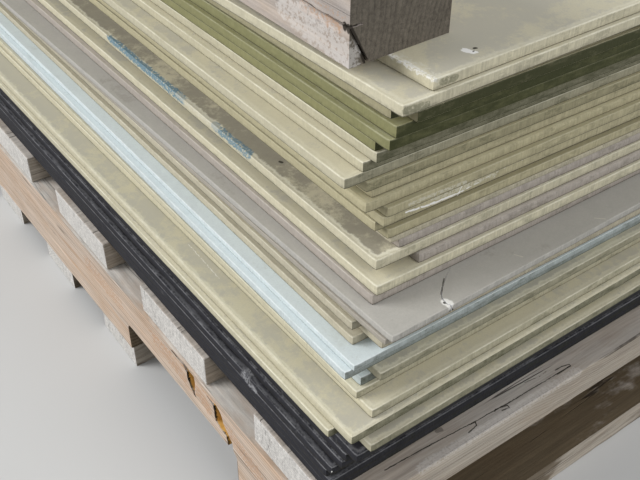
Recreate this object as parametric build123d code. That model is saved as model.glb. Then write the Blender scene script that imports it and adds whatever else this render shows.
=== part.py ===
from build123d import *
from math import radians, tan
import os

# A stack of solid plastic sheets on its timber pallet, with one square timber
# lying on top as a bearer for the next pack. All sizes are in millimetres.
# X runs along the pallet's front, Y away from the front, Z up.

# Sheets: 4 by 8 foot stock, sawn square
sheet_width = 1220
sheet_length = 2440
film_gauge = 5
light_gauge = 6
stock_gauge = 8
heavy_gauge = 9
arris_radius = 2.5

# Pallet, made to the sheet's size: a board deck on notched stringers, and a bottom deck of narrower boards
pallet_width = sheet_width
pallet_length = sheet_length
deck_board_width = 135
deck_board_thickness = 36
deck_board_count = 6
stringer_width = 38
stringer_height = 88
stringer_count = 5
front_stringer_proud = 2
front_skew = 0.6
notch_length = 229
notch_depth = 39
notch_radius = 8
notch_from_end = 165
bottom_board_width = 86
bottom_board_thickness = 31
middle_board_count = 3

# Two splits in the front stringer's face: outlines measured from its right end and up from its foot.
# The second one has torn out the corner of the notch's roof.
split_depth = 16
splits = [
    [(281, 84), (261, 83), (254, 77), (254, 70), (248, 60), (242, 55), (238, 76), (239, 84), (260, 86)],
    [(210, 76), (203, 73), (201, 54), (193, 51), (182, 49), (179, 37), (170, 37), (173, 49), (186, 65),
     (190, 75), (198, 80)],
]

# Top bearer: a square timber laid along the front edge of the stack, its right end sawn out of square
bearer_side = 84
bearer_length = sheet_width - 20
bearer_back = -7
bearer_in = 43
bearer_turn = -0.5
bearer_end_skew = 3

# The bearer's two checks: their bends in its right end (up, back) and in its front face (from its end, up)
end_check_width = 2.2
end_check_depth = 25
end_check_bends = [(-1, 15), (2.5, 13.6), (7.1, 10.9), (12.2, 8.1), (16.6, 5.5), (22.2, 2.2), (27, -0.4)]
front_check_width = 1.1
front_check_depth = 10
front_check_bends = [(-1, 26.7), (15, 26.5), (21.5, 26.8), (27.5, 26.2), (38, 26.3), (66, 27.2), (88, 26)]

# Where the stack stands on the pallet, taken at the near right corner of the second sheet
stack_back = 42
stack_in = 11

# The crack in the wide grey sheet: its bends, measured from the sheet's right and front edges
cracked_sheet = "sheet_24_grey"
crack_width = 1.2
crack_bends = [(-2, 58), (5, 55), (11, 56), (18, 61), (22, 67), (28, 75), (33, 83), (46, 92), (58, 101)]

# The sheets from the top down: name, gauge, how far the front edge and the right edge
# stand back from the corner that the second sheet sets, turn in degrees, rounded upper arris
sheets = [
    ("sheet_01_beige", stock_gauge, 25, 3, 1.1, False),
    ("sheet_02_beige", stock_gauge, 0, 0, 0.85, False),
    ("sheet_03_olive", stock_gauge, 2, 13, 0, False),
    ("sheet_04_olive", stock_gauge, 22, 11, -0.2, False),
    ("sheet_05_green", heavy_gauge, 9, 15, -0.4, False),
    ("sheet_06_green", stock_gauge, 5, 16, -0.5, False),
    ("sheet_07_green", stock_gauge, 6, 31, -0.5, False),
    ("sheet_08_beige", stock_gauge, 6, 29, -0.55, False),
    ("sheet_09_beige", stock_gauge, 0, 35, -0.6, False),
    ("sheet_10_beige", stock_gauge, -14, 36, -0.65, False),
    ("sheet_11_olive", stock_gauge, 3, 34, -0.75, False),
    ("sheet_12_olive", stock_gauge, 9, 36, -0.85, False),
    ("sheet_13_olive", stock_gauge, 2, 33, -0.8, True),
    ("sheet_14_olive", stock_gauge, 18, 29, -0.75, False),
    ("sheet_15_olive", stock_gauge, 16, 30, -0.75, False),
    ("sheet_16_olive", stock_gauge, 15, 38, -0.8, False),
    ("sheet_17_olive", stock_gauge, 24, 34, -0.9, False),
    ("sheet_18_cream", film_gauge, 27, 34, -0.9, True),
    ("sheet_19_mauve", stock_gauge, 35, 34, -0.85, True),
    ("sheet_20_beige", heavy_gauge, 13, 32, -0.7, False),
    ("sheet_21_mauve", stock_gauge, 50, 28, -0.65, True),
    ("sheet_22_beige", heavy_gauge, 9, 25, -0.45, False),
    ("sheet_23_mauve", heavy_gauge, 7, 27, -0.1, False),
    ("sheet_24_grey", light_gauge, -2, -7, 0.9, False),
    ("sheet_25_brown", film_gauge, -4, -2, 0.5, False),
    ("sheet_26_cream", stock_gauge, 0, 36, -0.1, False),
    ("sheet_27_cream", stock_gauge, -3, 37, -0.2, False),
    ("sheet_28_cream", stock_gauge, 8, 15, -0.2, False),
    ("sheet_29_cream", stock_gauge, -2, 37, -0.2, False),
    ("sheet_30_blue", light_gauge, -14, 19, -0.1, False),
    ("sheet_31_blue", stock_gauge, -20, 22, -0.1, False),
    ("sheet_32_beige", stock_gauge, 6, 12, 0.2, False),
    ("sheet_33_blue", heavy_gauge, -4, 23, 0.1, False),
    ("sheet_34_beige", stock_gauge, -10, 20, 0.2, False),
    ("sheet_35_beige", heavy_gauge, -7, 4, 0.6, False),
    ("sheet_36_beige", stock_gauge, -31, -2, 0.6, True),
    ("sheet_37_beige", stock_gauge, -37, 19, 0.4, False),
    ("sheet_38_beige", stock_gauge, -15, -6, 0.55, False),
    ("sheet_39_black", stock_gauge, -26, -3, 0.4, True),
    ("sheet_40_black", stock_gauge, -28, 8, 0.4, True),
    ("sheet_41_black", stock_gauge, -31, 9, 0.4, True),
    ("sheet_42_black", stock_gauge, -37, 14, 0.35, True),
    ("sheet_43_black", stock_gauge, -38, 20, 0.3, True),
    ("sheet_44_black", stock_gauge, -38, 14, 0.25, True),
    ("sheet_45_black", stock_gauge, -38, 15, 0.2, True),
]

# Heights, from the floor up
stringer_z = bottom_board_thickness
deck_z = stringer_z + stringer_height
stack_z = deck_z + deck_board_thickness
stack_height = sum(row[1] for row in sheets)
bearer_z = stack_z + stack_height

# The near right corner that the rows are measured from
corner_x = pallet_width / 2 - stack_in
corner_y = -pallet_length / 2 + stack_back

pieces = {}


def timber(x_from, y_from, z_from, x_size, y_size, z_size):
    """A sawn piece from its low corner and its three sizes."""
    place = Location((x_from, y_from, z_from))
    low = (Align.MIN, Align.MIN, Align.MIN)
    return place * Box(x_size, y_size, z_size, align=low)


def jagged(bends, width):
    """A crack's outline through its bends, open at the first one and closing towards the last."""
    last = len(bends) - 1
    halves = [width / 2 * (1 - i / last) for i in range(last + 1)]
    one_side = [(along, across - half) for (along, across), half in zip(bends, halves)]
    other_side = [(along, across + half) for (along, across), half in zip(bends, halves)]
    return one_side + other_side[-2::-1]


def crack(gauge):
    """A crack in from a sheet's right edge, through its whole gauge."""
    outline = [(-right, front) for right, front in jagged(crack_bends, crack_width)]
    return extrude(Polygon(*outline, align=None), gauge, both=True)


def sheet(gauge, back, side, turn, rounded, cracked, z_from):
    """One sheet, turned about its near right corner, with its upper arris rounded where it was rolled."""
    body = timber(-sheet_width, 0, 0, sheet_width, sheet_length, gauge)
    if rounded:
        body = fillet(body.faces().sort_by(Axis.Z)[-1].edges(), min(arris_radius, gauge / 2))
    if cracked:
        body -= crack(gauge)
    place = Location((corner_x - side, corner_y + back, z_from), (0, 0, turn))
    return place * body


def notched_stringer():
    """A stringer on edge, from its right foot, with a rounded fork notch cut up near each end."""
    body = timber(-pallet_width, 0, 0, pallet_width, stringer_width, stringer_height)
    for notch_from in (notch_from_end, pallet_width - notch_from_end - notch_length):
        notch = timber(-notch_from - notch_length, 0, 0, notch_length, stringer_width, notch_depth)
        roof = notch.edges().filter_by(Axis.Y).group_by(Axis.Z)[-1]
        body -= fillet(roof, notch_radius)
    return body


def split(outline):
    """A split, cut straight into a stringer's front face."""
    face = Plane.XZ * Polygon(*[(-from_right, up) for from_right, up in outline], align=None)
    return extrude(face, split_depth, both=True)


def front_end(x):
    """Where the pallet's skewed front lies at this X."""
    return -pallet_length / 2 - (pallet_width / 2 - x) * tan(radians(front_skew))


def lengthwise_board(x_from, z_from, width, thickness):
    """A board from the skewed front to the square back."""
    y_from = front_end(x_from + width)
    return timber(x_from, y_from, z_from, width, pallet_length / 2 - y_from, thickness)


def checked_bearer():
    """The square timber, from its near right corner."""
    off_square = bearer_side * tan(radians(bearer_end_skew))
    foot = [(-bearer_length, 0), (0, 0), (-off_square, bearer_side), (-bearer_length, bearer_side)]
    body = extrude(Polygon(*foot, align=None), bearer_side)
    in_end = [(back, up) for up, back in jagged(end_check_bends, end_check_width)]
    in_front = [(-right, up) for right, up in jagged(front_check_bends, front_check_width)]
    body -= extrude(Plane.YZ * Polygon(*in_end, align=None), end_check_depth, both=True)
    body -= extrude(Plane.XZ * Polygon(*in_front, align=None), front_check_depth, both=True)
    return body


# Deck boards run from front to back, evenly spaced
deck_pitch = (pallet_width - deck_board_width) / (deck_board_count - 1)
for i in range(deck_board_count):
    x_from = pallet_width / 2 - deck_board_width - i * deck_pitch
    board = lengthwise_board(x_from, deck_z, deck_board_width, deck_board_thickness)
    pieces[f"deck_board_{i + 1}"] = board

# Stringers cross under them, the front one turned with the skew and a little proud of the board ends
stringer_pitch = (pallet_length - stringer_width) / (stringer_count - 1)
for i in range(stringer_count):
    body = notched_stringer()
    y_from = -pallet_length / 2 + i * stringer_pitch
    turn = 0
    if i == 0:
        y_from -= front_stringer_proud
        turn = front_skew
        for outline in splits:
            body -= split(outline)
    place = Location((pallet_width / 2, y_from, stringer_z), (0, 0, turn))
    pieces[f"stringer_{i + 1}"] = place * body

# The bottom deck leaves the fork notches open: a board at each end and the rest between the notches
notch_inner = pallet_width / 2 - notch_from_end - notch_length
middle_pitch = (2 * notch_inner - bottom_board_width) / (middle_board_count - 1)
bottom_places = [pallet_width / 2 - bottom_board_width, -pallet_width / 2]
for i in range(middle_board_count):
    bottom_places.append(-notch_inner + i * middle_pitch)
pieces["bottom_boards"] = Compound([
    lengthwise_board(x_from, 0, bottom_board_width, bottom_board_thickness) for x_from in bottom_places
])

# The sheets, counted down from the top of the stack
z_top = stack_z + stack_height
for name, gauge, back, side, turn, rounded in sheets:
    z_top -= gauge
    pieces[name] = sheet(gauge, back, side, turn, rounded, name == cracked_sheet, z_top)

# The square timber on top
bearer_place = Location((corner_x - bearer_in, corner_y + bearer_back, bearer_z), (0, 0, bearer_turn))
pieces["top_bearer"] = bearer_place * checked_bearer()

# The origin goes to the middle of the footprint, on the floor
boxes = [body.bounding_box() for body in pieces.values()]
x_middle = (min(box.min.X for box in boxes) + max(box.max.X for box in boxes)) / 2
y_middle = (min(box.min.Y for box in boxes) + max(box.max.Y for box in boxes)) / 2
centre = Location((-x_middle, -y_middle, 0))

os.makedirs("parts", exist_ok=True)
for name, body in pieces.items():
    export_step(centre * body, f"parts/{name}.step")
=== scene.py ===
import math
from functools import partialmethod
from types import SimpleNamespace

import bmesh
import bpy
from bpy.props import FloatProperty, FloatVectorProperty, IntProperty, PointerProperty
from mathutils import Matrix, Vector


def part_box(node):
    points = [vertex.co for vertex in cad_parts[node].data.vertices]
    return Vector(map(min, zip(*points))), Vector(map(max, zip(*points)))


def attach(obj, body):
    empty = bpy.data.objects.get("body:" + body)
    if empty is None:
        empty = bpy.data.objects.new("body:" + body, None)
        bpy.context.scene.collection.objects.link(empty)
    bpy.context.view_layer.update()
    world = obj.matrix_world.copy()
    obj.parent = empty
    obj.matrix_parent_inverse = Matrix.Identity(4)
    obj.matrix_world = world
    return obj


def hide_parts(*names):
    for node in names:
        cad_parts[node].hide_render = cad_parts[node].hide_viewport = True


bl_info = {
    "name": "Stack of plastic sheets",
    "version": (1, 0, 0),
    "blender": (4, 5, 0),
    "location": "3D View > Sidebar > Sheet stack",
    "description": "Dresses the packed stack of plastic sheets on its timber pallet",
    "category": "Object",
}

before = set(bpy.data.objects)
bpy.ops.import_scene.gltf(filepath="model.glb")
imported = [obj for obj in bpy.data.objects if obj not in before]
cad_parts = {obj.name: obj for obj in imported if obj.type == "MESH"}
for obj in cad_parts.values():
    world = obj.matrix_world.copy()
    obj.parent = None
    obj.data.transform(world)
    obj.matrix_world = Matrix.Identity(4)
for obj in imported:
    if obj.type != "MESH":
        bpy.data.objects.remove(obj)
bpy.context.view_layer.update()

MM = 0.001
SHEETS, DECK_BOARDS, STRINGERS = (
    sorted(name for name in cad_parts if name.startswith(start))
    for start in ("sheet_", "deck_board_", "stringer_")
)
DATUM_SHEET = "sheet_02_beige"
CRACKED_SHEET = "sheet_24_grey"


def colour_property(name, description, colour):
    """A colour that the sidebar shows as a swatch."""
    return FloatVectorProperty(
        name=name, description=description, subtype="COLOR", size=3, min=0, max=1, default=colour
    )


def length_property(name, description, size):
    """A length in metres."""
    return FloatProperty(name=name, description=description, default=size, unit="LENGTH", precision=5)


def angle_property(name, description, degrees):
    """An angle, given in degrees."""
    return FloatProperty(name=name, description=description, default=math.radians(degrees), subtype="ANGLE")


def strength_property(name, description, strength):
    """A light's strength."""
    return FloatProperty(name=name, description=description, default=strength, min=0)


def count_property(name, description, count):
    """A number of columns."""
    return IntProperty(name=name, description=description, default=count, min=8)


class SheetSettings(bpy.types.PropertyGroup):
    """Sizes of the plastic sheets' worn edges."""

    sawn_arris: length_property("Sawn arris", "Wear on an arris that was left sawn", 0.5 * MM)
    rolled_arris: length_property("Rolled arris", "Radius of an upper arris that was rolled", 2.5 * MM)
    chip_depth: length_property("Chip depth", "Deepest chip along an arris", 1.5 * MM)
    saw_wander: length_property("Saw wander", "How far the saw cut strays from a straight line", 0.7 * MM)
    corner_wear: length_property("Corner wear", "How far the corners are knocked back", 0.5 * MM)
    near_cuts: count_property("Near cuts", "Columns along the front and the right side", 280)
    far_cuts: count_property("Far cuts", "Columns along the back and the left side", 60)


class PlasticColours(bpy.types.PropertyGroup):
    """Body colours of the sheets."""

    beige: colour_property("Beige", "Most of the upper and lower sheets", (0.57, 0.53, 0.39))
    olive: colour_property("Olive", "Sheets under the top two and in the middle", (0.43, 0.39, 0.25))
    green: colour_property("Green", "Three sheets near the top", (0.285, 0.275, 0.135))
    cream: colour_property("Cream", "Pale sheets in the lower half", (0.46, 0.42, 0.315))
    mauve: colour_property("Mauve", "Brownish grey sheets in the middle", (0.38, 0.34, 0.30))
    grey: colour_property("Grey", "The wide sheet with the crack", (0.42, 0.405, 0.37))
    brown: colour_property("Brown", "The thin sheet under the grey one", (0.36, 0.33, 0.28))
    blue: colour_property("Blue", "Pale blue sheets", (0.64, 0.71, 0.72))
    black: colour_property("Black", "The seven lowest sheets", (0.024, 0.024, 0.029))


class TimberSettings(bpy.types.PropertyGroup):
    """Colours and wear of the pallet's and the bearer's timber."""

    deck: colour_property("Deck", "Weathered deck and bottom boards", (0.40, 0.345, 0.29))
    stringer: colour_property("Stringer", "Stringers, less weathered", (0.50, 0.37, 0.27))
    bearer: colour_property("Bearer", "The square timber on top", (0.42, 0.34, 0.27))
    arris: length_property("Arris", "How far the timber's arrises are worn back", 1.8 * MM)
    ragged: length_property("Ragged", "How far a worn arris strays", 0.8 * MM)
    station: length_property("Station", "Spacing of the slices along a piece", 14 * MM)


class StageSettings(bpy.types.PropertyGroup):
    """Camera, floor and lights."""

    camera_right: length_property("Camera right", "From the second sheet's near right corner", 0.339)
    camera_front: length_property("Camera front", "In front of that corner", 0.304)
    camera_up: length_property("Camera up", "Above that corner", 0.252)
    azimuth: angle_property("Azimuth", "Direction of view, 0 along +Y", 54.13)
    pitch: angle_property("Pitch", "How far the camera looks down", 37.6)
    roll: angle_property("Roll", "Camera's turn about its own axis", 0.19)
    lens: FloatProperty(name="Lens", description="Focal length, in mm", default=50.12, unit="CAMERA")
    floor_seen: colour_property("Floor seen", "The floor's colour in the picture", (0.62, 0.62, 0.61))
    floor_bounce: colour_property("Floor bounce", "Colour of the light it throws back", (0.20, 0.20, 0.19))
    sky_strength: strength_property("Sky", "Strength of the even light all round", 0.44)
    key_strength: strength_property("Key light", "From the front left", 3.1)
    side_strength: strength_property("Side light", "From the right", 1.25)
    back_strength: strength_property("Back light", "From behind", 0.78)


WHITE = (1, 1, 1, 1)

# How each plastic has weathered: its film of dirt, its colour where it is worn, also used for the painted
# highlight on the upper arrises, and how much it is worn
GREY_FILM = (0.45, 0.43, 0.36, 1)
PALE_WEAR_AND_HIGHLIGHT = (0.80, 0.77, 0.63, 1)
PLASTIC_WEATHER = {
    "beige": (GREY_FILM, PALE_WEAR_AND_HIGHLIGHT, 0.75),
    "olive": ((0.36, 0.35, 0.24, 1), (0.58, 0.55, 0.40, 1), 0.5),
    "green": ((0.31, 0.31, 0.20, 1), (0.55, 0.54, 0.40, 1), 0.4),
    "cream": (GREY_FILM, PALE_WEAR_AND_HIGHLIGHT, 0.6),
    "mauve": ((0.34, 0.32, 0.27, 1), (0.62, 0.58, 0.52, 1), 0.5),
    "grey": ((0.34, 0.32, 0.285, 1), (0.55, 0.53, 0.49, 1), 0.5),
    "brown": ((0.17, 0.135, 0.10, 1), (0.50, 0.47, 0.42, 1), 0.4),
    "blue": ((0.55, 0.60, 0.59, 1), (0.84, 0.88, 0.88, 1), 0.5),
    "black": ((0.12, 0.12, 0.13, 1), (0.42, 0.42, 0.43, 1), 0.95),
}

# How green and dark a sheet's right edge is, from algae and from painted shade under the sheets above, and
# how dirty its faces are, by the sheet's number
PLAIN_SHADE_AND_WEAR = (0.12, 0.45)
SHEET_SHADE_AND_WEAR = {
    1: (0.05, 0.6), 2: (0.1, 0.6), 3: (1.0, 0.6), 4: (1.0, 0.6), 5: (0.97, 0.35), 6: (0.92, 0.35),
    7: (0.88, 0.35), 8: (0.84, 0.35), 9: (0.78, 0.35), 10: (0.62, 0.5), 11: (0.45, 0.45), 20: (0.2, 1.6),
    24: (0.05, 0.25), 25: (0.05, 1.3), 30: (0.6, 0.15), 31: (0.75, 0.15), 32: (0.62, 1.1), 33: (0.85, 0.5),
    34: (0.45, 0.6), 35: (0.45, 0.6), 36: (0.78, 0.75), 37: (0.78, 0.75), 38: (0.72, 0.8),
}

# Marks on the plastics, in millimetres: paint, half width, raggedness, share left bare, strength, then the
# points of the line (right, back, up), from the second sheet's near right corner on its upper face
PAINTS = {
    "white": (0.84, 0.83, 0.79, 1),
    "pale": (0.62, 0.60, 0.50, 1),
    "scuff": (0.30, 0.30, 0.31, 1),
    "blue": (0.045, 0.17, 0.27, 1),
    "dark": (0.035, 0.03, 0.02, 1),
    "moss": (0.07, 0.08, 0.04, 1),
}
MARKS = {
    "beige": (
        ("white", 3.2, 5, 0, 1, (-22, 68.4, 8), (-17.5, 70, 8)),
        ("dark", 1.3, 1, 0, 1, (-20.8, 74.5, 8), (-20.5, 75.5, 8)),
        ("dark", 0.6, 0.5, 0, 0.9, (-17.8, 70.5, 8), (-18.2, 71.5, 8)),
        ("white", 2.6, 5, 0.42, 0.85, (-45, 26.5, 8), (-5, 26.5, 8)),
        ("pale", 4.5, 8, 0.48, 0.7, (-42, 30, 8), (-6, 30, 8)),
        ("moss", 3, 3, 0.38, 0.5, (-3, 33, 4.5), (-3, 44, 4)),
        ("moss", 3.2, 3, 0.38, 0.5, (0, 3, -4), (0, 19, -5)),
        ("moss", 1.6, 3, 0.52, 0.8, (1, 172, -3), (1, 196, -3)),
        ("blue", 6, 8, 0.38, 0.8, (-480, 18, -142.5), (-322, 17, -143)),
        ("blue", 5, 7, 0.4, 0.75, (-264, 17, -143), (-206, 16.5, -143.5)),
        ("pale", 4, 6, 0.42, 0.6, (-330, 17.5, -142.5), (-258, 17, -143)),
        ("dark", 1.6, 1.5, 0, 0.9, (-180, 30.5, -142), (-178, 31, -142)),
        ("white", 0.5, 3, 0.4, 0.7, (-275, -14, -268), (-215, -16, -268)),
    ),
    "olive": (
        ("white", 1, 2, 0.36, 0.9, (-30, 36, -107.6), (-30, 58, -109.8)),
        ("white", 1.1, 2, 0.34, 0.9, (-30, 58, -109.8), (-30, 86, -110.5)),
        ("white", 0.9, 2, 0.38, 0.85, (-30, 86, -110.5), (-30, 122, -106.5), (-30, 146, -105.8)),
        ("white", 1, 2, 0.38, 0.85, (-30, 146, -105.8), (-30, 190, -110)),
        ("pale", 2.4, 4, 0.44, 0.6, (-30, 60, -106), (-30, 120, -108.5)),
        ("white", 0.7, 1.5, 0.2, 0.8, (-30, 83, -114.5), (-30, 87.5, -106)),
        ("pale", 1.8, 3, 0.42, 0.6, (-29, 38, -101), (-29, 90, -102.5)),
    ),
    "grey": (
        ("white", 4, 3, 0.1, 0.9, (0, 53.5, -177), (4, 54.2, -177)),
        # The dark strokes along the crack are painted shade inside it
        ("dark", 0.7, 0.8, 0.25, 0.8, (-20, 70, -177), (-8, 56.5, -177)),
        ("dark", 1.1, 0.8, 0, 0.9, (0.2, 52, -177), (0.8, 52.3, -177)),
        ("dark", 1.1, 0.8, 0, 0.9, (5.5, 54.2, -177), (7.5, 55.2, -177)),
        ("pale", 0.5, 1, 0.2, 0.7, (-10, 134, -177), (-4, 137, -177)),
        ("pale", 0.6, 1, 0.2, 0.7, (-6, 222, -177), (0, 228, -177)),
    ),
    "brown": (
        ("pale", 1.8, 3, 0.44, 0.95, (-2, 140, -184), (-2, 225, -184)),
        ("white", 1.4, 1.5, 0.2, 0.9, (-4, 226, -185), (-4, 230, -185)),
    ),
    "black": (
        ("scuff", 6.5, 5, 0.43, 0.8, (-144, -33, -321), (-126, -33, -323)),
        ("white", 1, 1.5, 0.3, 0.8, (-15, -36, -320), (-11, -36, -321)),
        ("white", 0.8, 1.5, 0.3, 0.8, (-22, -34, -303), (-18, -34, -304)),
    ),
}

# The cracked sheet's crack, from its right edge inwards: right and back, in millimetres from the same corner
CRACK_HALF_WIDTH = 0.6
CRACK_BENDS = (
    (9, 56), (2, 53), (-4, 54), (-11, 59), (-15, 65), (-21, 73), (-26, 81), (-39, 90), (-51, 99),
)

# How each timber has weathered
WOOD_GREY = (0.50, 0.475, 0.44, 1)
DECK_WOOD = {
    "Late": (0.22, 0.17, 0.13, 1), "Grey": WOOD_GREY, "Top Grey": 0.6, "Side Grey": 0.6,
    "Side Tint": (0.95, 0.92, 0.86, 1), "End": (0.60, 0.58, 0.55, 1), "End Amount": 0.95,
    "Ring Spacing": 3.2 * MM, "Ring Contrast": 0.4, "End Rings": 0.12, "Checks": 0.8, "End Checks": 0.5,
}
STRINGER_WOOD = {
    "Late": (0.32, 0.21, 0.14, 1), "Grey": (0.64, 0.61, 0.565, 1), "Top Grey": 1.0, "Side Grey": 0.32,
    # The dark end colour is partly painted shade on the end faces inside the notches
    "Side Tint": WHITE, "End": (0.16, 0.12, 0.07, 1), "End Amount": 0.85,
    "Ring Spacing": 4.2 * MM, "Ring Contrast": 0.65, "End Rings": 0.5, "Checks": 0.45, "End Checks": 0.4,
    "Stain Amount": 0.55,
}
BEARER_WOOD = {
    "Late": (0.28, 0.20, 0.15, 1), "Grey": (0.46, 0.415, 0.385, 1), "Top Grey": 0.9, "Side Grey": 0.95,
    "Side Tint": WHITE, "End": (0.14, 0.122, 0.098, 1), "End Amount": 1.0,
    "Ring Spacing": 4.2 * MM, "Ring Contrast": 0.35, "End Rings": 0.18, "Checks": 0.35, "End Checks": 0.25,
    "Stain Amount": 0.5,
}

# How wet a timber's upper and upright faces are
PLAIN_DAMP = (0.0, 0.1)
TIMBER_DAMP = {"bottom_boards": (1.0, 0.6)}

# Marks in the timbers, measured as the plastics' marks are
TIMBER_PAINTS = {
    # Fresh wood in the splits, made brighter than its own colour as painted light against the shade inside
    # them
    "orange": (1.0, 0.56, 0.13, 1),
    "rust": (0.45, 0.26, 0.15, 1),
    # Dark, laid as painted shade in the cracks, the splits and the bearer's slit
    "dark": (0.022, 0.017, 0.012, 1),
    "straw": (0.66, 0.55, 0.38, 1),
    "bleached": (0.66, 0.63, 0.60, 1),
}
# The dark strokes are painted shade on the walls of the bearer's slit
BEARER_MARKS = (
    ("dark", 2.5, 0.8, 0, 0.9, (-44.5, 6, 10), (-44.5, -6.5, 34.5)),
    ("dark", 3.5, 1, 0, 0.95, (-47, -2, 34.5), (-128, -2, 34.5)),
    ("dark", 2.6, 1, 0, 0.95, (-48, 8, 9), (-48, -6.5, 34.5)),
    ("rust", 4.5, 6, 0.46, 0.6, (-54, -7, 30), (-92, -7, 31)),
    ("rust", 1.6, 4, 0.5, 0.6, (-48, -7, 39), (-120, -7, 38)),
    ("bleached", 12, 16, 0.4, 0.55, (-48, -7, 16), (-110, -7, 24)),
)
# The thin dark lines are painted shade in the deck's cracks
DECK_MARKS = (
    ("dark", 0.7, 1.2, 0.3, 0.9,
     (-8.3, 14, -348), (-6.3, 61, -348), (-2.9, 112, -348), (-1.3, 152, -348), (-0.4, 229, -348)),
    ("dark", 2.6, 3, 0.3, 0.5, (-14.5, 77, -348), (-13.5, 81, -348)),
    ("dark", 0.8, 1, 0.25, 0.85,
     (-1.5, 133.3, -348), (-2.6, 135.7, -348), (0, 147.3, -348), (3.4, 147, -348), (1.6, 139.5, -348)),
    ("dark", 0.8, 1, 0.25, 0.85,
     (-4.5, 214.9, -348), (-4.5, 223.7, -348), (-2.2, 231.4, -348), (-0.3, 230.7, -348),
     (-0.1, 212.2, -348)),
    ("dark", 0.8, 1, 0.25, 0.85,
     (-3.5, 105, -348), (-2.1, 110.8, -348), (0.9, 109.2, -348), (3, 97.8, -348)),
    ("dark", 0.45, 0.8, 0.2, 0.8, (-10.1, 179.9, -348), (-7.8, 197.1, -348), (-8.8, 208.8, -348)),
    ("bleached", 6, 6, 0.42, 0.35, (8, 40, -348.5), (8, 230, -348.5)),
)
# The dark strokes are painted shade on the near walls of the splits and in the thin cracks round them
STRINGER_MARKS = (
    ("orange", 5.4, 3, 0.3, 0.95, (-244, -40, -393), (-243, -40, -403), (-231, -40, -418)),
    ("orange", 5.4, 3, 0.3, 0.95, (-193, -40, -399), (-191, -40, -417)),
    ("orange", 5.4, 3, 0.3, 0.95, (-190, -40, -419), (-171, -40, -424), (-167, -40, -435)),
    ("dark", 2.4, 4, 0, 0.95, (-242, -45.2, -393), (-241, -45.2, -403), (-230, -45.2, -416)),
    ("dark", 1.3, 1, 0, 0.9, (-272, -46.5, -387), (-250, -46.4, -388)),
    ("dark", 2.4, 4, 0, 0.95, (-191, -45, -398), (-189, -45, -416), (-170, -45, -422)),
    ("dark", 2.6, 2, 0, 0.95, (-170, -45, -422), (-166, -45, -434)),
    ("dark", 1.3, 1, 0, 0.9, (-204, -46, -395), (-190, -46, -395)),
    ("rust", 2.4, 5, 0.47, 0.7, (-330, -47.6, -398), (-242, -46.6, -391)),
    ("rust", 1.8, 5, 0.47, 0.7, (-250, -46.8, -420), (-214, -46.3, -408)),
    ("rust", 2.6, 4, 0.45, 0.7, (-214, -46.3, -394), (-190, -46, -392)),
    ("straw", 1.4, 1, 0, 0.9, (-166, -45.8, -429), (-160, -45.8, -435)),
    ("rust", 10, 16, 0.43, 0.55, (-310, -47, -404), (-252, -46.5, -408)),
    ("rust", 10, 16, 0.42, 0.6, (-222, -46, -404), (-205, -46, -412)),
    ("rust", 13, 18, 0.44, 0.55, (-160, -46, -412), (-90, -45, -430)),
    ("rust", 12, 18, 0.45, 0.5, (-480, -49, -410), (-400, -48, -414)),
)
TIMBER_KINDS = {
    "deck": (DECK_WOOD, DECK_MARKS), "stringer": (STRINGER_WOOD, STRINGER_MARKS),
    "bearer": (BEARER_WOOD, BEARER_MARKS),
}

# What a shader group puts out
SURFACE = {"Color": "Color", "Roughness": "Float", "Height": "Float"}


class Field:
    """A value in a node tree, which may differ from place to place. Arithmetic on it adds Math nodes."""

    def __init__(self, tree, socket):
        self.tree = tree
        self.socket = socket

    def result(self, operation, *others):
        return work(operation, self, *others)

    def __rsub__(self, other):
        return work("SUBTRACT", other, self)

    __add__ = __radd__ = partialmethod(result, "ADD")
    __sub__ = partialmethod(result, "SUBTRACT")
    __mul__ = partialmethod(result, "MULTIPLY")
    __truediv__ = partialmethod(result, "DIVIDE")
    __pow__ = partialmethod(result, "POWER")
    __mod__ = partialmethod(result, "MODULO")
    __gt__ = partialmethod(result, "GREATER_THAN")
    __abs__ = partialmethod(result, "ABSOLUTE")


def feed(socket, value):
    """Links a field to a socket, or gives the socket a plain value."""
    if isinstance(value, Field):
        value.tree.links.new(value.socket, socket)
    else:
        socket.default_value = value


def put(tree, kind, inputs=None, **settings):
    """Adds a node. An input is given by its name or number, as a field or as a plain value."""
    node = tree.nodes.new(kind)
    for name, value in settings.items():
        setattr(node, name, value)
    for key, value in (inputs or {}).items():
        feed(node.inputs[key], value)
    return node


def reading(tree, kind, output=0, **settings):
    """The field that a node without linked inputs gives."""
    return Field(tree, put(tree, kind, **settings).outputs[output])


def after(kind, inputs, output=0, **settings):
    """The field that a node gives which is added behind the fields that feed it."""
    tree = next(value.tree for value in inputs.values() if isinstance(value, Field))
    return Field(tree, put(tree, kind, inputs, **settings).outputs[output])


def work(operation, *values):
    """A Math node's result."""
    return after("ShaderNodeMath", dict(enumerate(values)), operation=operation)


def greater(first, second):
    """The greater of two numbers."""
    return work("MAXIMUM", first, second)


def lesser(first, second):
    """The lesser of two numbers."""
    return work("MINIMUM", first, second)


def clamped(value):
    """A number held between 0 and 1."""
    return lesser(greater(value, 0), 1)


def vector_work(operation, *values):
    """A Vector Math node's vector, or its number for a dot product or a length."""
    output = "Value" if operation in ("DOT_PRODUCT", "LENGTH") else "Vector"
    return after("ShaderNodeVectorMath", dict(enumerate(values)), output, operation=operation)


def stretched(vector, *scales):
    """A vector with each of its numbers times its own scale."""
    return vector_work("MULTIPLY", vector, scales)


def scaled(vector, scale):
    """A vector times a number."""
    return after("ShaderNodeVectorMath", {0: vector, "Scale": scale}, "Vector", operation="SCALE")


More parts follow.
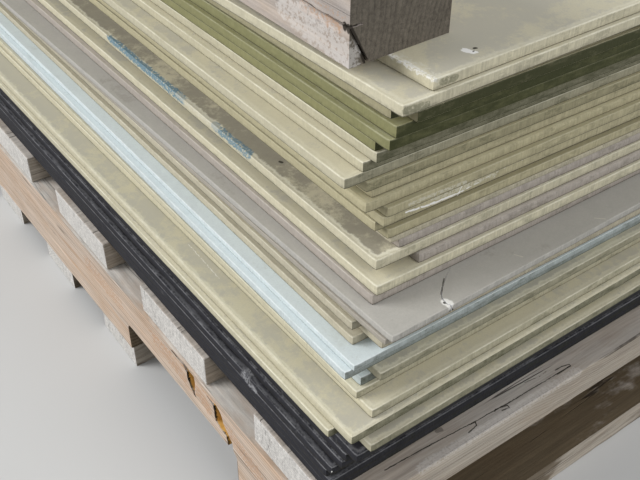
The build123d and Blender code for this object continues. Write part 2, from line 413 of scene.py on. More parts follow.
def ramp(value, low, high, to_low=0.0, to_high=1.0):
    """A smooth step of a value from one range to another."""
    inputs = {"Value": value, "From Min": low, "From Max": high, "To Min": to_low, "To Max": to_high}
    return after("ShaderNodeMapRange", inputs, interpolation_type="SMOOTHSTEP")


def blend(factor, first, second):
    """Two numbers mixed by a factor."""
    return after("ShaderNodeMix", {0: factor, 2: first, 3: second})


def mixed(factor, first, second, mode="MIX"):
    """Two colours mixed by a factor."""
    return after("ShaderNodeMix", {0: factor, 6: first, 7: second}, 2, data_type="RGBA", blend_type=mode)


def joined(x, y, z):
    """Three numbers as a vector."""
    return after("ShaderNodeCombineXYZ", {0: x, 1: y, 2: z})


def toned(colour, tone):
    """A colour times a number."""
    return mixed(1, colour, joined(tone, tone, tone), "MULTIPLY")


def parted(vector):
    """A vector's three numbers."""
    node = put(vector.tree, "ShaderNodeSeparateXYZ", {0: vector})
    return [Field(vector.tree, socket) for socket in node.outputs]


def noise(vector, seed, scale, detail=4.0, roughness=0.55):
    """A noise value from 0 to 1, which differs from piece to piece by its seed."""
    inputs = {"Vector": vector, "W": seed, "Scale": scale, "Detail": detail, "Roughness": roughness}
    return after("ShaderNodeTexNoise", inputs, noise_dimensions="4D")


def stored(tree, *names, output="Fac"):
    """Values that the piece's mesh holds."""
    return [reading(tree, "ShaderNodeAttribute", output, attribute_name=name) for name in names]


def rgba(colour):
    """A setting's colour with full alpha."""
    return (*colour, 1)


def plain_key(label):
    """A socket's label as a name in the script."""
    return label.lower().replace(" ", "_")


def open_group(name, kind, inputs, outputs):
    """A new node group and its inputs as fields. A default, or a name in its place, says an input's type."""
    tree = bpy.data.node_groups.new(name, kind)
    for label, default in inputs.items():
        named = isinstance(default, str)
        size = len(default) if isinstance(default, tuple) else type(default)
        socket_type = default if named else {int: "Int", float: "Float", 3: "Vector", 4: "Color"}[size]
        socket = tree.interface.new_socket(label, in_out="INPUT", socket_type=f"NodeSocket{socket_type}")
        if not named:
            socket.default_value = default
    for label, socket_type in outputs.items():
        tree.interface.new_socket(label, in_out="OUTPUT", socket_type=f"NodeSocket{socket_type}")
    sockets = tree.nodes.new("NodeGroupInput").outputs
    fields = {plain_key(label): Field(tree, socket) for label, socket in zip(inputs, sockets)}
    return tree, SimpleNamespace(**fields)


def close_group(tree, results):
    """Links the results to the group's output."""
    put(tree, "NodeGroupOutput", results)


def made_once(name, maker):
    """A node group that several pieces share, made when the first of them asks for it."""
    return bpy.data.node_groups.get(name) or maker(name)


def choose(index, values):
    """One of several values, by a whole number."""
    node = index.tree.nodes.new("GeometryNodeIndexSwitch")
    node.data_type = "FLOAT"
    while len(node.index_switch_items) < len(values):
        node.index_switch_items.new()
    feed(node.inputs["Index"], index)
    for place, value in enumerate(values):
        feed(node.inputs[place + 1], value)
    return Field(index.tree, node.outputs[0])


def keep_field(geometry, name, value, data_type="FLOAT"):
    """Stores a value on the points, for the materials."""
    inputs = {"Geometry": geometry, "Name": name, "Value": value}
    return after("GeometryNodeStoreNamedAttribute", inputs, data_type=data_type, domain="POINT")


def finished(geometry, material):
    """Ends a geometry tree: realized, with its material."""
    geometry = after("GeometryNodeRealizeInstances", {"Geometry": geometry})
    return after("GeometryNodeSetMaterial", {"Geometry": geometry, "Material": material})


def grown(blank, tree, values):
    """Puts a geometry tree on a blank with its named inputs set."""
    modifier = blank.modifiers.new(tree.name, "NODES")
    modifier.node_group = tree
    for item in tree.interface.items_tree:
        if item.item_type == "SOCKET" and item.in_out == "INPUT" and item.name in values:
            modifier[item.identifier] = values[item.name]


def new_object(name, data):
    """A new object in the scene."""
    thing = bpy.data.objects.new(name, data)
    bpy.context.scene.collection.objects.link(thing)
    return thing


def kept(blank, name):
    """The plain mesh of a blank with its modifiers, as a piece. The blank goes."""
    graph = bpy.context.evaluated_depsgraph_get()
    mesh = bpy.data.meshes.new_from_object(blank.evaluated_get(graph), depsgraph=graph)
    mesh.name = name
    piece = new_object(name, mesh)
    drop(blank)
    return piece


def made_mesh(shape, name):
    """The mesh of a finished shape."""
    mesh = bpy.data.meshes.new(name)
    shape.to_mesh(mesh)
    shape.free()
    return mesh


def drop(thing):
    """Takes an object and its mesh away."""
    mesh = thing.data
    bpy.data.objects.remove(thing)
    bpy.data.meshes.remove(mesh)


def stand_for(piece, node):
    """A dressed piece takes the place of its CAD node."""
    if not piece.data.polygons:
        raise RuntimeError(f"{piece.name} came out empty")
    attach(piece, "root")
    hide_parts(node)


def sheet_plan(node):
    """Where a sheet lies: its near right corner on its foot, its turn, width, length and gauge."""
    low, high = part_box(node)
    foot = [v.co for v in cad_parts[node].data.vertices if v.co.z < low.z + 0.1 * MM]
    near_right = max(foot, key=lambda point: point.x - point.y)
    near_left = min(foot, key=lambda point: point.x + point.y)
    far_right = max(foot, key=lambda point: point.x + point.y)
    front = near_right - near_left
    return {
        "Corner": near_right.copy(),
        "Turn": math.atan2(front.y, front.x),
        "Width": front.length,
        "Length": (far_right - near_right).length,
        "Gauge": high.z - low.z,
    }


def has_rolled_arris(node):
    """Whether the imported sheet's upper arris is rounded."""
    low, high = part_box(node)
    gauge = high.z - low.z
    return any(low.z + 0.3 * gauge < v.co.z < high.z - 0.1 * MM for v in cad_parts[node].data.vertices)


def near_right_corner(node):
    """The corner of a sheet nearest the camera, on its upper face."""
    plan = sheet_plan(node)
    return plan["Corner"] + Vector((0, 0, plan["Gauge"]))


def measured(place):
    """A place in millimetres from the datum corner, as a point of the frame."""
    return near_right_corner(DATUM_SHEET) + Vector(place) * MM


def mark_group(name):
    """The mask of one mark: a stroke between two points with ragged edges and bare gaps."""
    inputs = {
        "Start": (0.0, 0.0, 0.0), "Finish": (0.0, 0.0, 0.0),
        "Half Width": 0.002, "Ragged": 0.002, "Bare": 0.3, "Strength": 1.0,
    }
    tree, given = open_group(name, "ShaderNodeTree", inputs, {"Mask": "Float"})
    place = reading(tree, "ShaderNodeTexCoord", "Object")
    shake = after("ShaderNodeTexNoise", {"Vector": place, "Scale": 260.0, "Detail": 3.0}, "Color")
    shake = vector_work("SUBTRACT", shake, (0.5, 0.5, 0.5))
    shaken = vector_work("ADD", place, scaled(shake, given.ragged))
    reach = vector_work("SUBTRACT", given.finish, given.start)
    away = vector_work("SUBTRACT", shaken, given.start)
    share = clamped(vector_work("DOT_PRODUCT", away, reach) / vector_work("DOT_PRODUCT", reach, reach))
    distance = vector_work("LENGTH", vector_work("SUBTRACT", away, scaled(reach, share)))
    body = ramp(distance, given.half_width * 0.7, given.half_width, 1, 0)
    grain = {"Vector": place, "Scale": 420.0, "Detail": 5.0, "Roughness": 0.7}
    covered = ramp(after("ShaderNodeTexNoise", grain), given.bare, given.bare + 0.09)
    close_group(tree, {"Mask": body * covered * given.strength})
    return tree


def marked(tree, colour, marks, paints):
    """A material's colour with its marks laid over it."""
    group = made_once("Mark", mark_group)
    for paint, half_width, ragged, bare, strength, *points in marks:
        for start, finish in zip(points, points[1:]):
            inputs = {
                "Start": measured(start), "Finish": measured(finish), "Half Width": half_width * MM,
                "Ragged": ragged * MM, "Bare": bare, "Strength": strength,
            }
            mask = put(tree, "ShaderNodeGroup", inputs, node_tree=group)
            colour = mixed(Field(tree, mask.outputs["Mask"]), colour, paints[paint])
    return colour


def new_material(name):
    """A material, its node tree and its shader's inputs."""
    material = bpy.data.materials.new(name)
    material.use_nodes = True
    return material, material.node_tree, material.node_tree.nodes["Principled BSDF"].inputs


def dressed_material(name, group, values, marks, paints, bump_strength, bump_distance, specular):
    """A material made from a shared group with values of its own, and with its marks laid over the colour."""
    material, tree, shader = new_material(f"weathered_{name}")
    surface = put(tree, "ShaderNodeGroup", values, node_tree=group)
    colour, roughness, height = (Field(tree, surface.outputs[label]) for label in SURFACE)
    bump = {"Height": height, "Strength": bump_strength, "Distance": bump_distance}
    feed(shader["Base Color"], marked(tree, colour, marks, paints))
    feed(shader["Roughness"], roughness)
    feed(shader["Normal"], after("ShaderNodeBump", bump))
    feed(shader["Specular IOR Level"], specular)
    return material


CAKED_DIRT = (0.13, 0.11, 0.08, 1)
# Painted shade in the gaps between sheets, with grime
SEAM_SHADE_AND_GRIME = (0.03, 0.027, 0.018, 1)
# Algae, also standing in as painted shade under the overhanging sheets
ALGAE_AND_SHADE = (0.034, 0.038, 0.012, 1)
SPECULAR = 0.18
BLACK_SPECULAR = 0.08


def plastic_group(name):
    """Weather on solid plastic sheet: a film of dirt, saw streaks, grime, algae and worn arrises, with
    painted shade in the seams and under the sheets above, and a painted highlight on the upper arrises.
    """
    inputs = {"Body": WHITE, "Film": WHITE, "Worn": WHITE, "Worn Amount": 0.5}
    tree, given = open_group(name, "ShaderNodeTree", inputs, SURFACE)
    stock = stored(tree, "stock", output="Vector")[0]
    seed, chip, height, rim, damp, dirt = stored(tree, "sheet_seed", "chip", "height", "rim", "damp", "dirt")
    normal = reading(tree, "ShaderNodeNewGeometry", "Normal")
    facing = parted(normal)
    flat = ramp(abs(facing[2]), 0.4, 0.8)
    edge = 1 - flat
    right = edge * ramp(facing[0], 0.3, 0.8)

    # Dirt lies on the faces in mottled blotches, and ends in a pale tide line at the washed rim
    broad = noise(stock, seed, 13, 5, 0.6)
    cloud = noise(stock, seed, 90, 10, 0.8)
    fine = noise(stock, seed, 900, 3, 0.7)
    vast = noise(stock, seed, 2.2, 2)
    spread = (vast - 0.5) * 0.3 + (broad + cloud) * 0.5
    shore = cloud * (14 * MM) + rim
    washed = ramp(shore, 9 * MM, 13 * MM, 0.25, 1)
    tide = ramp(shore, 8 * MM, 10.5 * MM) * ramp(shore, 10.5 * MM, 13 * MM, 1, 0)
    film = ramp(spread, blend(dirt, 0.56, 0.41), blend(dirt, 0.63, 0.51))
    film = film * (cloud * 0.9 + 0.5) * washed * (flat * 0.65 + 0.15)
    film_colour = mixed(greater(dirt - 1, 0), given.film, CAKED_DIRT)

    # Saw streaks run up the edges, fainter in front
    sawn = stretched(stock, 1, 1, 0.05)
    streak = noise(sawn, seed, 620, 3, 0.7) - 0.5
    broad_streak = noise(sawn, seed, 90, 4, 0.65) - 0.5
    streaks = (streak + broad_streak) * (right * 0.55 + edge * 0.4)
    tone = (fine - 0.5) * 0.3 + 1 + streaks * 0.9 + (cloud - 0.5) * 0.35
    colour = mixed(film, toned(given.body, tone), film_colour)
    colour = mixed(tide * flat * (dirt * 0.45), colour, given.worn)

    # Painted shade in the seams: a crisp dark line at the foot, where the gap between sheets lies in shade,
    # and a soft grime stain above it
    line = ramp(height, 0.07, 0.17, 1, 0)
    soft = ramp(height, 0.08, 0.5, 0.45, 0) * ramp(broad_streak, -0.1, 0.12)
    colour = mixed(greater(line, soft) * edge * 0.9, colour, SEAM_SHADE_AND_GRIME)

    # Algae on the right edges, and blotches of it. The same dark green is painted shade under the overhanging
    # sheets above
    blotch = noise(stretched(stock, 1, 1, 2.5), seed, 48, 6, 0.75)
    veil = damp ** 1.4 * (blotch * 1.2 + 0.4)
    spots = ramp(blotch, 0.53, 0.57) * (damp * 0.9 + 0.12)
    reach = right * 0.75 + edge * 0.25
    algae_and_shade = lesser(greater(veil, spots) * reach, 0.97)
    colour = mixed(algae_and_shade, colour, ALGAE_AND_SHADE)

    # Upper arrises are rubbed pale in uneven stretches, and so are the chips. The pale lip on the upper arris
    # is also a painted highlight where it catches the light
    nibble = noise(stock, seed, 640, 5, 0.8)
    stretch = noise(stock, seed, 34, 5, 0.65)
    rubbed = nibble * 0.4 + stretch * 0.6
    lip_wear_and_highlight = ramp(height, 0.84, 0.98) * ramp(rim, 0.5 * MM, 1.8 * MM, 1, 0)
    worn = greater(lip_wear_and_highlight * ramp(rubbed, 0.36, 0.6), chip * 0.3) * given.worn_amount * (1 - algae_and_shade * 0.7)
    colour = mixed(worn, colour, given.worn)

    roughness = 0.5 + film * 0.25 + edge * 0.14
    relief = streaks * 1.4 + fine * 0.3 + cloud * 0.4
    close_group(tree, {"Color": colour, "Roughness": roughness, "Height": relief})
    return tree


def plastic_material(name, family, body):
    """A sheet's material: the shared weather with this plastic's own values, and its marks."""
    group = made_once("Weathered plastic", plastic_group)
    film, worn, amount = PLASTIC_WEATHER[family]
    values = {"Body": rgba(body), "Film": film, "Worn": worn, "Worn Amount": amount}
    specular = BLACK_SPECULAR if family == "black" else SPECULAR
    return dressed_material(name, group, values, MARKS.get(family, ()), PAINTS, 0.6, 0.4 * MM, specular)


# A sheet's section, from the middle of its foot round the edge to the middle of its top
SHEET_ROWS = 11
RIM_WIDTH = 12 * MM


def sheet_tree(name):
    """The tree that makes one sheet: a closed slab with worn or rolled arrises, chips and a straying saw cut.

    Its grid has a row for each line of the section, and columns that run round the sheet."""
    inputs = {
        "Corner": (0.0, 0.0, 0.0), "Turn": 0.0, "Width": 1.22, "Length": 2.44, "Gauge": 0.008,
        "Upper Arris": 0.0005, "Lower Arris": 0.0005, "Chip Depth": 0.0015, "Saw Wander": 0.0007,
        "Corner Wear": 0.0005, "Crowding": 2.2, "Even Share": 0.12, "Near Cuts": 280, "Far Cuts": 60,
        "Damp": 0.25, "Dirt": 0.45, "Seed": 0, "Material": "Material",
    }
    tree, given = open_group(name, "GeometryNodeTree", inputs, {"Geometry": "Geometry"})
    tree.is_modifier = True
    near_cuts, far_cuts = given.near_cuts, given.far_cuts
    columns = (near_cuts + far_cuts) * 2 + 1
    sizes = {"Size X": 1.0, "Size Y": 1.0, "Vertices X": columns, "Vertices Y": SHEET_ROWS}
    grid = after("GeometryNodeMeshGrid", sizes)
    index = reading(tree, "GeometryNodeInputIndex")
    row = index % SHEET_ROWS
    column = work("FLOOR", (index + 0.5) / SHEET_ROWS)

    # The columns go round by the right, back, left and front sides. Near the corner they crowd together
    left_from = near_cuts + far_cuts
    front_from = left_from + far_cuts
    side = (column > near_cuts - 0.5) + (column > left_from - 0.5) + (column > front_from - 0.5)
    side_from = choose(side, (0, near_cuts, left_from, front_from))
    side_cuts = choose(side, (near_cuts, far_cuts, far_cuts, near_cuts))
    way = clamped((column - side_from) / side_cuts)
    left_over = 1 - way
    crowded = blend(given.even_share, way ** given.crowding, way)
    crowded_back = blend(given.even_share, left_over ** given.crowding, left_over)
    across = choose(side, (0, way, 1, crowded_back))
    along = choose(side, (crowded, 1, left_over, 0))
    plan_x = across * given.width
    plan_y = along * given.length

    # Wear, the same for each line of a column's upper or lower half
    seed = given.seed * 7.3
    spot = joined(plan_x, plan_y, (row > 5.5) * 0.3)
    chip = ramp(noise(spot, seed, 130, 4), 0.6, 0.74)
    wander = noise(joined(plan_x, plan_y, 0), seed, 6, 2) * given.saw_wander
    rough = noise(joined(plan_x, plan_y, row), seed, 330, 2) * (0.35 * MM)
    to_edge_x = lesser(plan_x, given.width - plan_x)
    to_edge_y = lesser(plan_y, given.length - plan_y)
    knocked = ramp(greater(to_edge_x, to_edge_y), 0, 4 * MM, 1, 0) * given.corner_wear
    stray = wander + rough + knocked

    upper_arris, lower_arris, gauge = given.upper_arris, given.lower_arris, given.gauge
    turned_in = upper_arris * (1 - math.cos(math.pi / 4))
    rims = (RIM_WIDTH, RIM_WIDTH)
    rim = choose(row, (*rims, lower_arris, 0, 0, 0, 0, turned_in, upper_arris, *rims))
    strays = choose(row, (0, 0, 1, 1, 1, 1, 1, 1, 1, 0, 0))
    chip_in = choose(row, (0, 0, 1, 0.4, 0, 0, 0.5, 0.8, 1.2, 0, 0))
    chip_down = choose(row, (0, 0, 0, -0.4, 0, 0, 0.7, 0.8, 0.3, 0, 0))
    depth = chip * given.chip_depth
    inset = rim + strays * stray + chip_in * depth
    sides = (lower_arris, gauge * 0.35, gauge * 0.62, gauge - upper_arris, gauge - turned_in)
    level = choose(row, (0, 0, 0, *sides, gauge, gauge, gauge)) - chip_down * depth

    # The first and last rows close the foot and the top along the sheet's middle line
    twice = inset * 2
    ring_x = across * (given.width - twice) + inset
    ring_y = along * (given.length - twice) + inset
    half = given.width * 0.5
    middle_y = lesser(greater(plan_y, half), given.length - half)
    closing = choose(row, (1, *(0,) * (SHEET_ROWS - 2), 1))
    place = joined(blend(closing, ring_x, half) * -1, blend(closing, ring_y, middle_y), level)

    slab = after("GeometryNodeSetPosition", {"Geometry": grid, "Position": place})
    slab = keep_field(slab, "stock", place, "FLOAT_VECTOR")
    # damp sets both the algae and the painted shade on the right edges
    fields = {
        "height": level / gauge, "rim": blend(closing, rim, half), "chip": chip * strays, "sheet_seed": seed,
        "damp": given.damp, "dirt": given.dirt,
    }
    for label, value in fields.items():
        slab = keep_field(slab, label, value)
    slab = after("GeometryNodeMergeByDistance", {"Geometry": slab, "Distance": 0.01 * MM})
    move = {"Geometry": slab, "Translation": given.corner, "Rotation": joined(0.0, 0.0, given.turn)}
    slab = after("GeometryNodeTransform", move)
    close_group(tree, {"Geometry": finished(slab, given.material)})
    return tree


def crack_cutter(node):
    """A thin prism through the cracked sheet, open at its right edge and closing towards its inner end."""
    low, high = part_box(node)
    last = len(CRACK_BENDS) - 1
    front_side, back_side = [], []
    for i, (right, back) in enumerate(CRACK_BENDS):
        half = CRACK_HALF_WIDTH * (1 - i / last)
        front_side.append(measured((right, back - half, 0)))
        back_side.append(measured((right, back + half, 0)))
    outline = front_side + back_side[-2::-1]
    shape = bmesh.new()
    foot = [shape.verts.new((point.x, point.y, low.z - 2 * MM)) for point in outline]
    face = shape.faces.new(foot)
    raised = bmesh.ops.extrude_face_region(shape, geom=[face])["geom"]
    lifted = [part for part in raised if isinstance(part, bmesh.types.BMVert)]
    bmesh.ops.translate(shape, verts=lifted, vec=(0, 0, high.z - low.z + 4 * MM))
    bmesh.ops.recalc_face_normals(shape, faces=shape.faces)
    return new_object("crack_blank", made_mesh(shape, "crack"))


def add_sheet(node, seed, sizes, material):
    """One sheet, made on its CAD node's plan."""
    plan = sheet_plan(node)
    rolled = min(sizes.rolled_arris, plan["Gauge"] / 2)
    plan["Upper Arris"] = rolled if has_rolled_arris(node) else sizes.sawn_arris
    plan["Lower Arris"] = sizes.sawn_arris
    for label in ("Chip Depth", "Saw Wander", "Corner Wear", "Near Cuts", "Far Cuts"):
        plan[label] = getattr(sizes, plain_key(label))
    # Damp sets both the algae and the painted shade on the right edge
    plan["Damp"], plan["Dirt"] = SHEET_SHADE_AND_WEAR.get(int(node.split("_")[1]), PLAIN_SHADE_AND_WEAR)
    plan["Seed"] = seed
    plan["Material"] = material
    blank = new_object(f"{node}_blank", bpy.data.meshes.new(f"{node}_blank"))
    grown(blank, made_once("Sawn sheet", sheet_tree), plan)
    if node != CRACKED_SHEET:
        return kept(blank, f"{node}_dressed")
    cutter = crack_cutter(node)
    cut = blank.modifiers.new("crack", "BOOLEAN")
    cut.operation = "DIFFERENCE"
    cut.solver = "EXACT"
    cut.object = cutter
    piece = kept(blank, f"{node}_dressed")
    drop(cutter)
    return piece


STAIN = (0.45, 0.22, 0.07, 1)
WET_TINT = (0.27, 0.22, 0.15, 1)
CHECK_SHADE = (0.03, 0.022, 0.016, 1)


def wood_group(name):
    """Solid sawn wood: rings round a pith, knots, fibres along the run, grey weather, checks and a stain."""
    inputs = {"Early": WHITE, **DECK_WOOD, "Stain Amount": 0.0}
    tree, given = open_group(name, "ShaderNodeTree", inputs, SURFACE)
    stock, run = stored(tree, "stock", "run", output="Vector")
    seed, top_damp, side_damp = stored(tree, "timber_seed", "top_damp", "side_damp")
    normal = reading(tree, "ShaderNodeNewGeometry", "Normal")
    up = ramp(parted(normal)[2], 0.4, 0.8)
    end = ramp(abs(vector_work("DOT_PRODUCT", normal, run)), 0.5, 0.85)
    along_grain = 1 - end

    # Rings: distance from the pith, bent by slow noise along the run and pushed aside by knots
    bend = noise(stretched(stock, 1.4, 7, 7), seed, 1, 3, 0.5)
    radius = vector_work("LENGTH", stretched(stock, 0, 1, 1)) + bend * 0.05
    knot_place = vector_work("ADD", stretched(stock, 2.2, 5, 5), joined(seed, 0.3, 0.7))
    knot = after("ShaderNodeTexVoronoi", {"Vector": knot_place, "Scale": 1.0}, "Distance")
    knot_push = ramp(knot, 0, 0.38, 0.022, 0)
    uneven = noise(joined(radius, 0, 0), seed, 110, 3, 0.6)
    radius = uneven * (5 * MM) + (radius + knot_push)
    ring = work("FRACT", radius / given.ring_spacing)
    late = ramp(ring, 0.45, 0.88) * ramp(ring, 0.92, 1, 1, 0)
    core = ramp(knot, 0.05, 0.11, 1, 0)

    # Fibres and streaks run with the grain
    drawn = stretched(stock, 0.03, 1, 1)
    fibre = noise(drawn, seed, 460, 5, 0.75)
    streak = noise(drawn, seed, 160, 4, 0.6)
    speckle = noise(stock, seed, 1000, 3, 0.75)
    patch = noise(stretched(stock, 0.35, 1, 1), seed, 26, 5, 0.6)

    ringed = late * given.ring_contrast * blend(up, 1, 0.4)
    wood = mixed(ringed, given.early, given.late)
    wood = mixed(core * 0.6, wood, given.late)
    wood = toned(wood, (fibre - 0.5) * 1.3 + 1 + (streak - 0.5) * 0.9)
    grey = ramp(patch, 0.3, 0.62) * blend(up, given.side_grey, given.top_grey)
    grey_tone = (fibre + streak - 1) * 0.9 + 1 - late * blend(up, 0.2, 0) + (speckle - 0.5) * 0.7
    colour = mixed(grey, wood, toned(given.grey, grey_tone))
    tint = mixed(1, colour, given.side_tint, "MULTIPLY")
    colour = mixed((1 - up) * along_grain, colour, tint)
    stain = ramp(noise(drawn, seed, 60, 3, 0.6), 0.56, 0.68)
    stain = stain * given.stain_amount * ramp(patch, 0.42, 0.6)
    colour = mixed(stain * along_grain, colour, STAIN)

    # Damp darkens it in broad patches
    damp = blend(up, side_damp, top_damp) * along_grain
    pool = noise(stretched(stock, 0.4, 1, 1), seed, 14, 6, 0.65)
    soaked = ramp(pool, blend(damp, 0.75, 0.28), blend(damp, 0.8, 0.4)) * lesser(damp * 1.3, 1)
    colour = mixed(soaked, colour, mixed(1, colour, WET_TINT, "MULTIPLY"))

    # End grain: furred and speckled, with faint rings
    fur = noise(stock, seed, 360, 6, 0.85)
    tuft = noise(stretched(stock, 1, 1, 0.4), seed, 190, 4, 0.75)
    end_tone = (fur - 0.5) * 2.2 + 1 + (tuft - 0.5) * 0.8 - late * given.end_rings
    colour = mixed(end * given.end_amount, colour, toned(given.end, end_tone))

    # Checks are thin lines where a drawn-out noise crosses its middle value
    line = noise(stretched(stock, 0.018, 1, 1), seed, 55, 2, 0.4)
    line = ramp(abs(line - 0.5), 0.002, 0.007, 1, 0)
    line = line * ramp(patch, 0.46, 0.56) * along_grain * given.checks
    ray = noise(stretched(stock, 1, 1, 0.2), seed, 120, 2, 0.5)
    ray = ramp(abs(ray - 0.5), 0.003, 0.01, 1, 0)
    ray = ray * end * ramp(patch, 0.5, 0.6)
    check = greater(line, ray * given.end_checks)
    colour = mixed(check, colour, CHECK_SHADE)

    relief = late * blend(up, 0.35, 0.04) + fibre * 0.7
    relief = blend(end, relief, fur * 1.6) - check * 1.5 + streak * 0.6
    roughness = streak * 0.15 + 0.78
    close_group(tree, {"Color": colour, "Roughness": roughness, "Height": relief})
    return tree


def wood_material(kind, early):
    """A timber's material: the shared wood with this timber's own values, and its marks."""
    label = f"weathered_{kind}_timber"
    if label in bpy.data.materials:
        return bpy.data.materials[label]
    group = made_once("Weathered wood", wood_group)
    wood, marks = TIMBER_KINDS[kind]
    values = dict(wood, Early=rgba(early))
    return dressed_material(f"{kind}_timber", group, values, marks, TIMBER_PAINTS, 0.8, 0.7 * MM, 0.2)


def timber_tree(name):
    """The tree that wears a sawn timber: its arrises stray, and it keeps what the wood material reads."""
    inputs = {
        "Geometry": "Geometry", "Ragged": 0.0012, "Run": (0.0, 0.0, 0.0), "Pith": (0.0, 0.0, 0.0),
        "Top Damp": 0.0, "Side Damp": 0.0, "Seed": 0, "Material": "Material",
    }
    tree, given = open_group(name, "GeometryNodeTree", inputs, {"Geometry": "Geometry"})
    tree.is_modifier = True
    position = reading(tree, "GeometryNodeInputPosition")
    normal = reading(tree, "GeometryNodeInputNormal")
    seed = given.seed * 5.1
    nick = ramp(noise(position, seed, 28, 3, 0.6), 0.5, 0.72)
    inward = (noise(position, seed, 25, 2) * 0.5 + nick) * given.ragged * -1
    # The run becomes the first axis, and the pith the origin of the other two
    x, y, z = parted(vector_work("SUBTRACT", position, given.pith))
    along_x = parted(given.run)[0]
    stock = joined(blend(along_x, y, x), blend(along_x, x, y), z)
    solid = keep_field(given.geometry, "stock", stock, "FLOAT_VECTOR")
    solid = keep_field(solid, "run", given.run, "FLOAT_VECTOR")
    fields = {"timber_seed": seed, "top_damp": given.top_damp, "side_damp": given.side_damp}
    for label, value in fields.items():
        solid = keep_field(solid, label, value)
    solid = after("GeometryNodeSetPosition", {"Geometry": solid, "Offset": scaled(normal, inward)})
    close_group(tree, {"Geometry": finished(solid, given.material)})
    return tree


# Shorter sharp edges belong to splits and checks, which stay sharp
SHORTEST_ARRIS = 28 * MM
SHARP_ANGLE = math.radians(30)
FLAT_ANGLE = math.radians(1)

# Slices crowd towards the front right, where the pallet is seen from close by, and keep off the ends
SLICE_CROWDING = 1.5
END_SPARE = 5 * MM


def sliced_copy(node, run, station):
    """A merged copy of a CAD timber, cut into slices along its run, with its arrises weighted for wear."""
    shape = bmesh.new()
    shape.from_mesh(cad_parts[node].data)
    bmesh.ops.remove_doubles(shape, verts=shape.verts, dist=0.01 * MM)
    bmesh.ops.dissolve_limit(shape, angle_limit=FLAT_ANGLE, verts=shape.verts, edges=shape.edges)
    weight = shape.edges.layers.float.new("bevel_weight_edge")
    for edge in shape.edges:
        if edge.calc_length() > SHORTEST_ARRIS and edge.calc_face_angle(0) > SHARP_ANGLE:
            edge[weight] = 1
    low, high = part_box(node)
    reach = (high - low).dot(run)
    count = max(2, round(reach / station))
    for step in range(1, count):
        way = reach * (step / count) ** SLICE_CROWDING
        if END_SPARE < way < reach - END_SPARE:
            place = low + run * way if run.y else high - run * way
            everything = shape.verts[:] + shape.edges[:] + shape.faces[:]
            bmesh.ops.bisect_plane(shape, geom=everything, plane_co=place, plane_no=run)
    for face in shape.faces:
        face.smooth = False
    mesh = made_mesh(shape, f"{node}_blank")
    mesh.attributes.remove(mesh.attributes["custom_normal"])
    return mesh


def add_timber(node, run, pith_off, seed, settings, material):
    """A timber with worn arrises, made from its CAD node's shape."""
    blank = new_object(f"{node}_blank", sliced_copy(node, run, settings.station))
    bevel = blank.modifiers.new("worn_arris", "BEVEL")
    bevel.width = settings.arris
    bevel.segments = 2
    bevel.limit_method = "WEIGHT"
    low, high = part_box(node)
    top_damp, side_damp = TIMBER_DAMP.get(node, PLAIN_DAMP)
    values = {
        "Top Damp": top_damp, "Side Damp": side_damp, "Ragged": settings.ragged, "Run": run,
        "Pith": (low + high) / 2 + Vector(pith_off), "Seed": seed, "Material": material,
    }
    grown(blank, made_once("Weathered timber", timber_tree), values)
    return kept(blank, f"{node}_dressed")


LENGTHWISE = Vector((0, 1, 0))
CROSSWISE = Vector((1, 0, 0))


def dress_timbers(context, kind, nodes, run, pith_off, first_seed):
    """Makes timbers of one kind. The pith is given from a timber's middle, in metres."""
    settings = context.scene.stack_timbers
    material = wood_material(kind, getattr(settings, kind))
    for seed, node in enumerate(nodes, first_seed):
        piece = add_timber(node, run, pith_off, seed, settings, material)
        stand_for(piece, node)
    return {"FINISHED"}


class STACK_OT_sheets(bpy.types.Operator):
    """Makes the plastic sheets"""

    bl_idname = "stack.sheets"
    bl_label = "Plastic sheets"

    def execute(self, context):
        colours = context.scene.stack_plastics
        materials = {}
        for seed, node in enumerate(SHEETS):
            family = node.split("_")[-1]
            slot = f"{family}_plastic"
            if family not in materials:
                materials[family] = plastic_material(slot, family, getattr(colours, family))
            piece = add_sheet(node, seed, context.scene.stack_sheets, materials[family])
            stand_for(piece, node)
        return {"FINISHED"}


class STACK_OT_bearer(bpy.types.Operator):
    """Makes the square timber on top"""

    bl_idname = "stack.bearer"
    bl_label = "Top bearer"

    def execute(self, context):
        return dress_timbers(context, "bearer", ["top_bearer"], CROSSWISE, (0, 0.30, -0.06), 31)


class STACK_OT_deck(bpy.types.Operator):
    """Makes the deck boards"""

    bl_idname = "stack.deck"
    bl_label = "Deck boards"

    def execute(self, context):
        return dress_timbers(context, "deck", DECK_BOARDS, LENGTHWISE, (-0.02, 0, -0.14), 0)


class STACK_OT_stringers(bpy.types.Operator):
    """Makes the notched stringers"""

    bl_idname = "stack.stringers"
    bl_label = "Stringers"

    def execute(self, context):
        return dress_timbers(context, "stringer", STRINGERS, CROSSWISE, (0, 0.03, 0.16), 10)


class STACK_OT_bottom(bpy.types.Operator):
    """Makes the bottom boards"""

    bl_idname = "stack.bottom"
    bl_label = "Bottom boards"

    def execute(self, context):
        return dress_timbers(context, "deck", ["bottom_boards"], LENGTHWISE, (0.02, 0, -0.06), 21)


class STACK_OT_stage(bpy.types.Operator):
    """Makes the floor, the lights and the camera"""

    bl_idname = "stack.stage"
    bl_label = "Floor, lights and camera"

    def execute(self, context):
        settings = context.scene.stack_stage
        make_floor(settings.floor_seen, settings.floor_bounce)
        make_sky(settings.sky_strength)
        for name, towards in LAMPS.items():
            make_lamp(name, getattr(settings, f"{name}_strength"), towards)
        make_camera(settings)
        context.scene.view_settings.view_transform = "Standard"
        return {"FINISHED"}


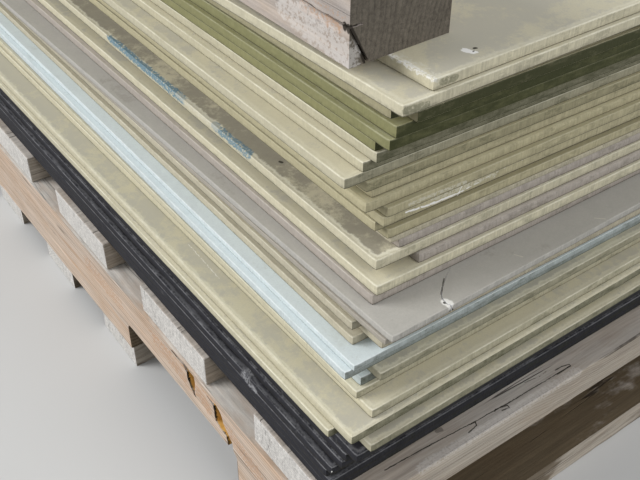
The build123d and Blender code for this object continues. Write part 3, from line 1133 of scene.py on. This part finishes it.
# Where each lamp shines from, and how wide it looks
LAMPS = {"key": (-2.2, -3.4, 1.9), "side": (3.0, 0.4, 1.7), "back": (0.5, 3.0, 1.5)}
LAMP_WIDTH = math.radians(38)
FLOOR_HALF = 8
FLOOR_ROUGHNESS = 0.9
SKY_COLOUR = (0.95, 0.97, 1, 1)
SENSOR_WIDTH = 36
CLIP_RANGE = (0.02, 50)


def make_floor(seen, bounce):
    """A floor that is pale in the picture and throws less light back at the stack."""
    shape = bmesh.new()
    bmesh.ops.create_grid(shape, x_segments=1, y_segments=1, size=FLOOR_HALF)
    floor = new_object("floor", made_mesh(shape, "floor"))
    material, tree, shader = new_material("floor_paint")
    rays = put(tree, "ShaderNodeLightPath").outputs
    kinds = ("Camera", "Glossy", "Transmission")
    camera, glossy, through = (Field(tree, rays[f"Is {kind} Ray"]) for kind in kinds)
    seen_ray = greater(greater(camera, glossy), through)
    feed(shader["Base Color"], mixed(seen_ray, rgba(bounce), rgba(seen)))
    feed(shader["Roughness"], FLOOR_ROUGHNESS)
    floor.data.materials.append(material)


def make_sky(strength):
    """Even light from all round, a little cool."""
    world = bpy.data.worlds.new("soft_sky")
    world.use_nodes = True
    background = world.node_tree.nodes["Background"].inputs
    feed(background["Color"], SKY_COLOUR)
    feed(background["Strength"], strength)
    bpy.context.scene.world = world


def make_lamp(name, strength, towards):
    """A wide soft light, equally strong all over the stack and the floor."""
    lamp = bpy.data.lights.new(name, "SUN")
    lamp.energy = strength
    lamp.angle = LAMP_WIDTH
    new_object(name, lamp).rotation_euler = Vector(towards).to_track_quat("Z", "Y").to_euler()


def make_camera(settings):
    """The photograph's camera, placed from the second sheet's near right corner."""
    data = bpy.data.cameras.new("camera")
    data.sensor_width = SENSOR_WIDTH
    data.lens = settings.lens
    camera = new_object("camera", data)
    away = Vector((settings.camera_right, -settings.camera_front, settings.camera_up))
    place = Matrix.Translation(near_right_corner(DATUM_SHEET) + away)
    look = Matrix.Rotation(settings.azimuth, 4, "Z") @ Matrix.Rotation(math.pi / 2 - settings.pitch, 4, "X")
    camera.matrix_world = place @ look @ Matrix.Rotation(settings.roll, 4, "Z")
    data.clip_start, data.clip_end = CLIP_RANGE
    bpy.context.scene.camera = camera


class STACK_PT_sidebar(bpy.types.Panel):
    """Lists the pieces of the stack"""

    bl_idname = "STACK_PT_sidebar"
    bl_label = "Sheet stack"
    bl_space_type = "VIEW_3D"
    bl_region_type = "UI"
    bl_category = "Sheet stack"

    def draw(self, context):
        for operator in OPERATORS:
            self.layout.operator(operator.bl_idname)
        for name in SETTINGS:
            settings = getattr(context.scene, name)
            box = self.layout.box()
            for key in settings.__annotations__:
                box.prop(settings, key)


SETTINGS = {
    "stack_sheets": SheetSettings,
    "stack_plastics": PlasticColours,
    "stack_timbers": TimberSettings,
    "stack_stage": StageSettings,
}
OPERATORS = (
    STACK_OT_sheets, STACK_OT_bearer, STACK_OT_deck, STACK_OT_stringers, STACK_OT_bottom, STACK_OT_stage,
)


CLASSES = (*SETTINGS.values(), *OPERATORS, STACK_PT_sidebar)


def register():
    for kind in CLASSES:
        bpy.utils.register_class(kind)
    for name, group in SETTINGS.items():
        setattr(bpy.types.Scene, name, PointerProperty(type=group))


def unregister():
    for name in SETTINGS:
        delattr(bpy.types.Scene, name)
    for kind in reversed(CLASSES):
        bpy.utils.unregister_class(kind)


def main():
    register()
    bpy.ops.stack.sheets()
    bpy.ops.stack.bearer()
    bpy.ops.stack.deck()
    bpy.ops.stack.stringers()
    bpy.ops.stack.bottom()
    bpy.ops.stack.stage()


if __name__ == "__main__":
    main()
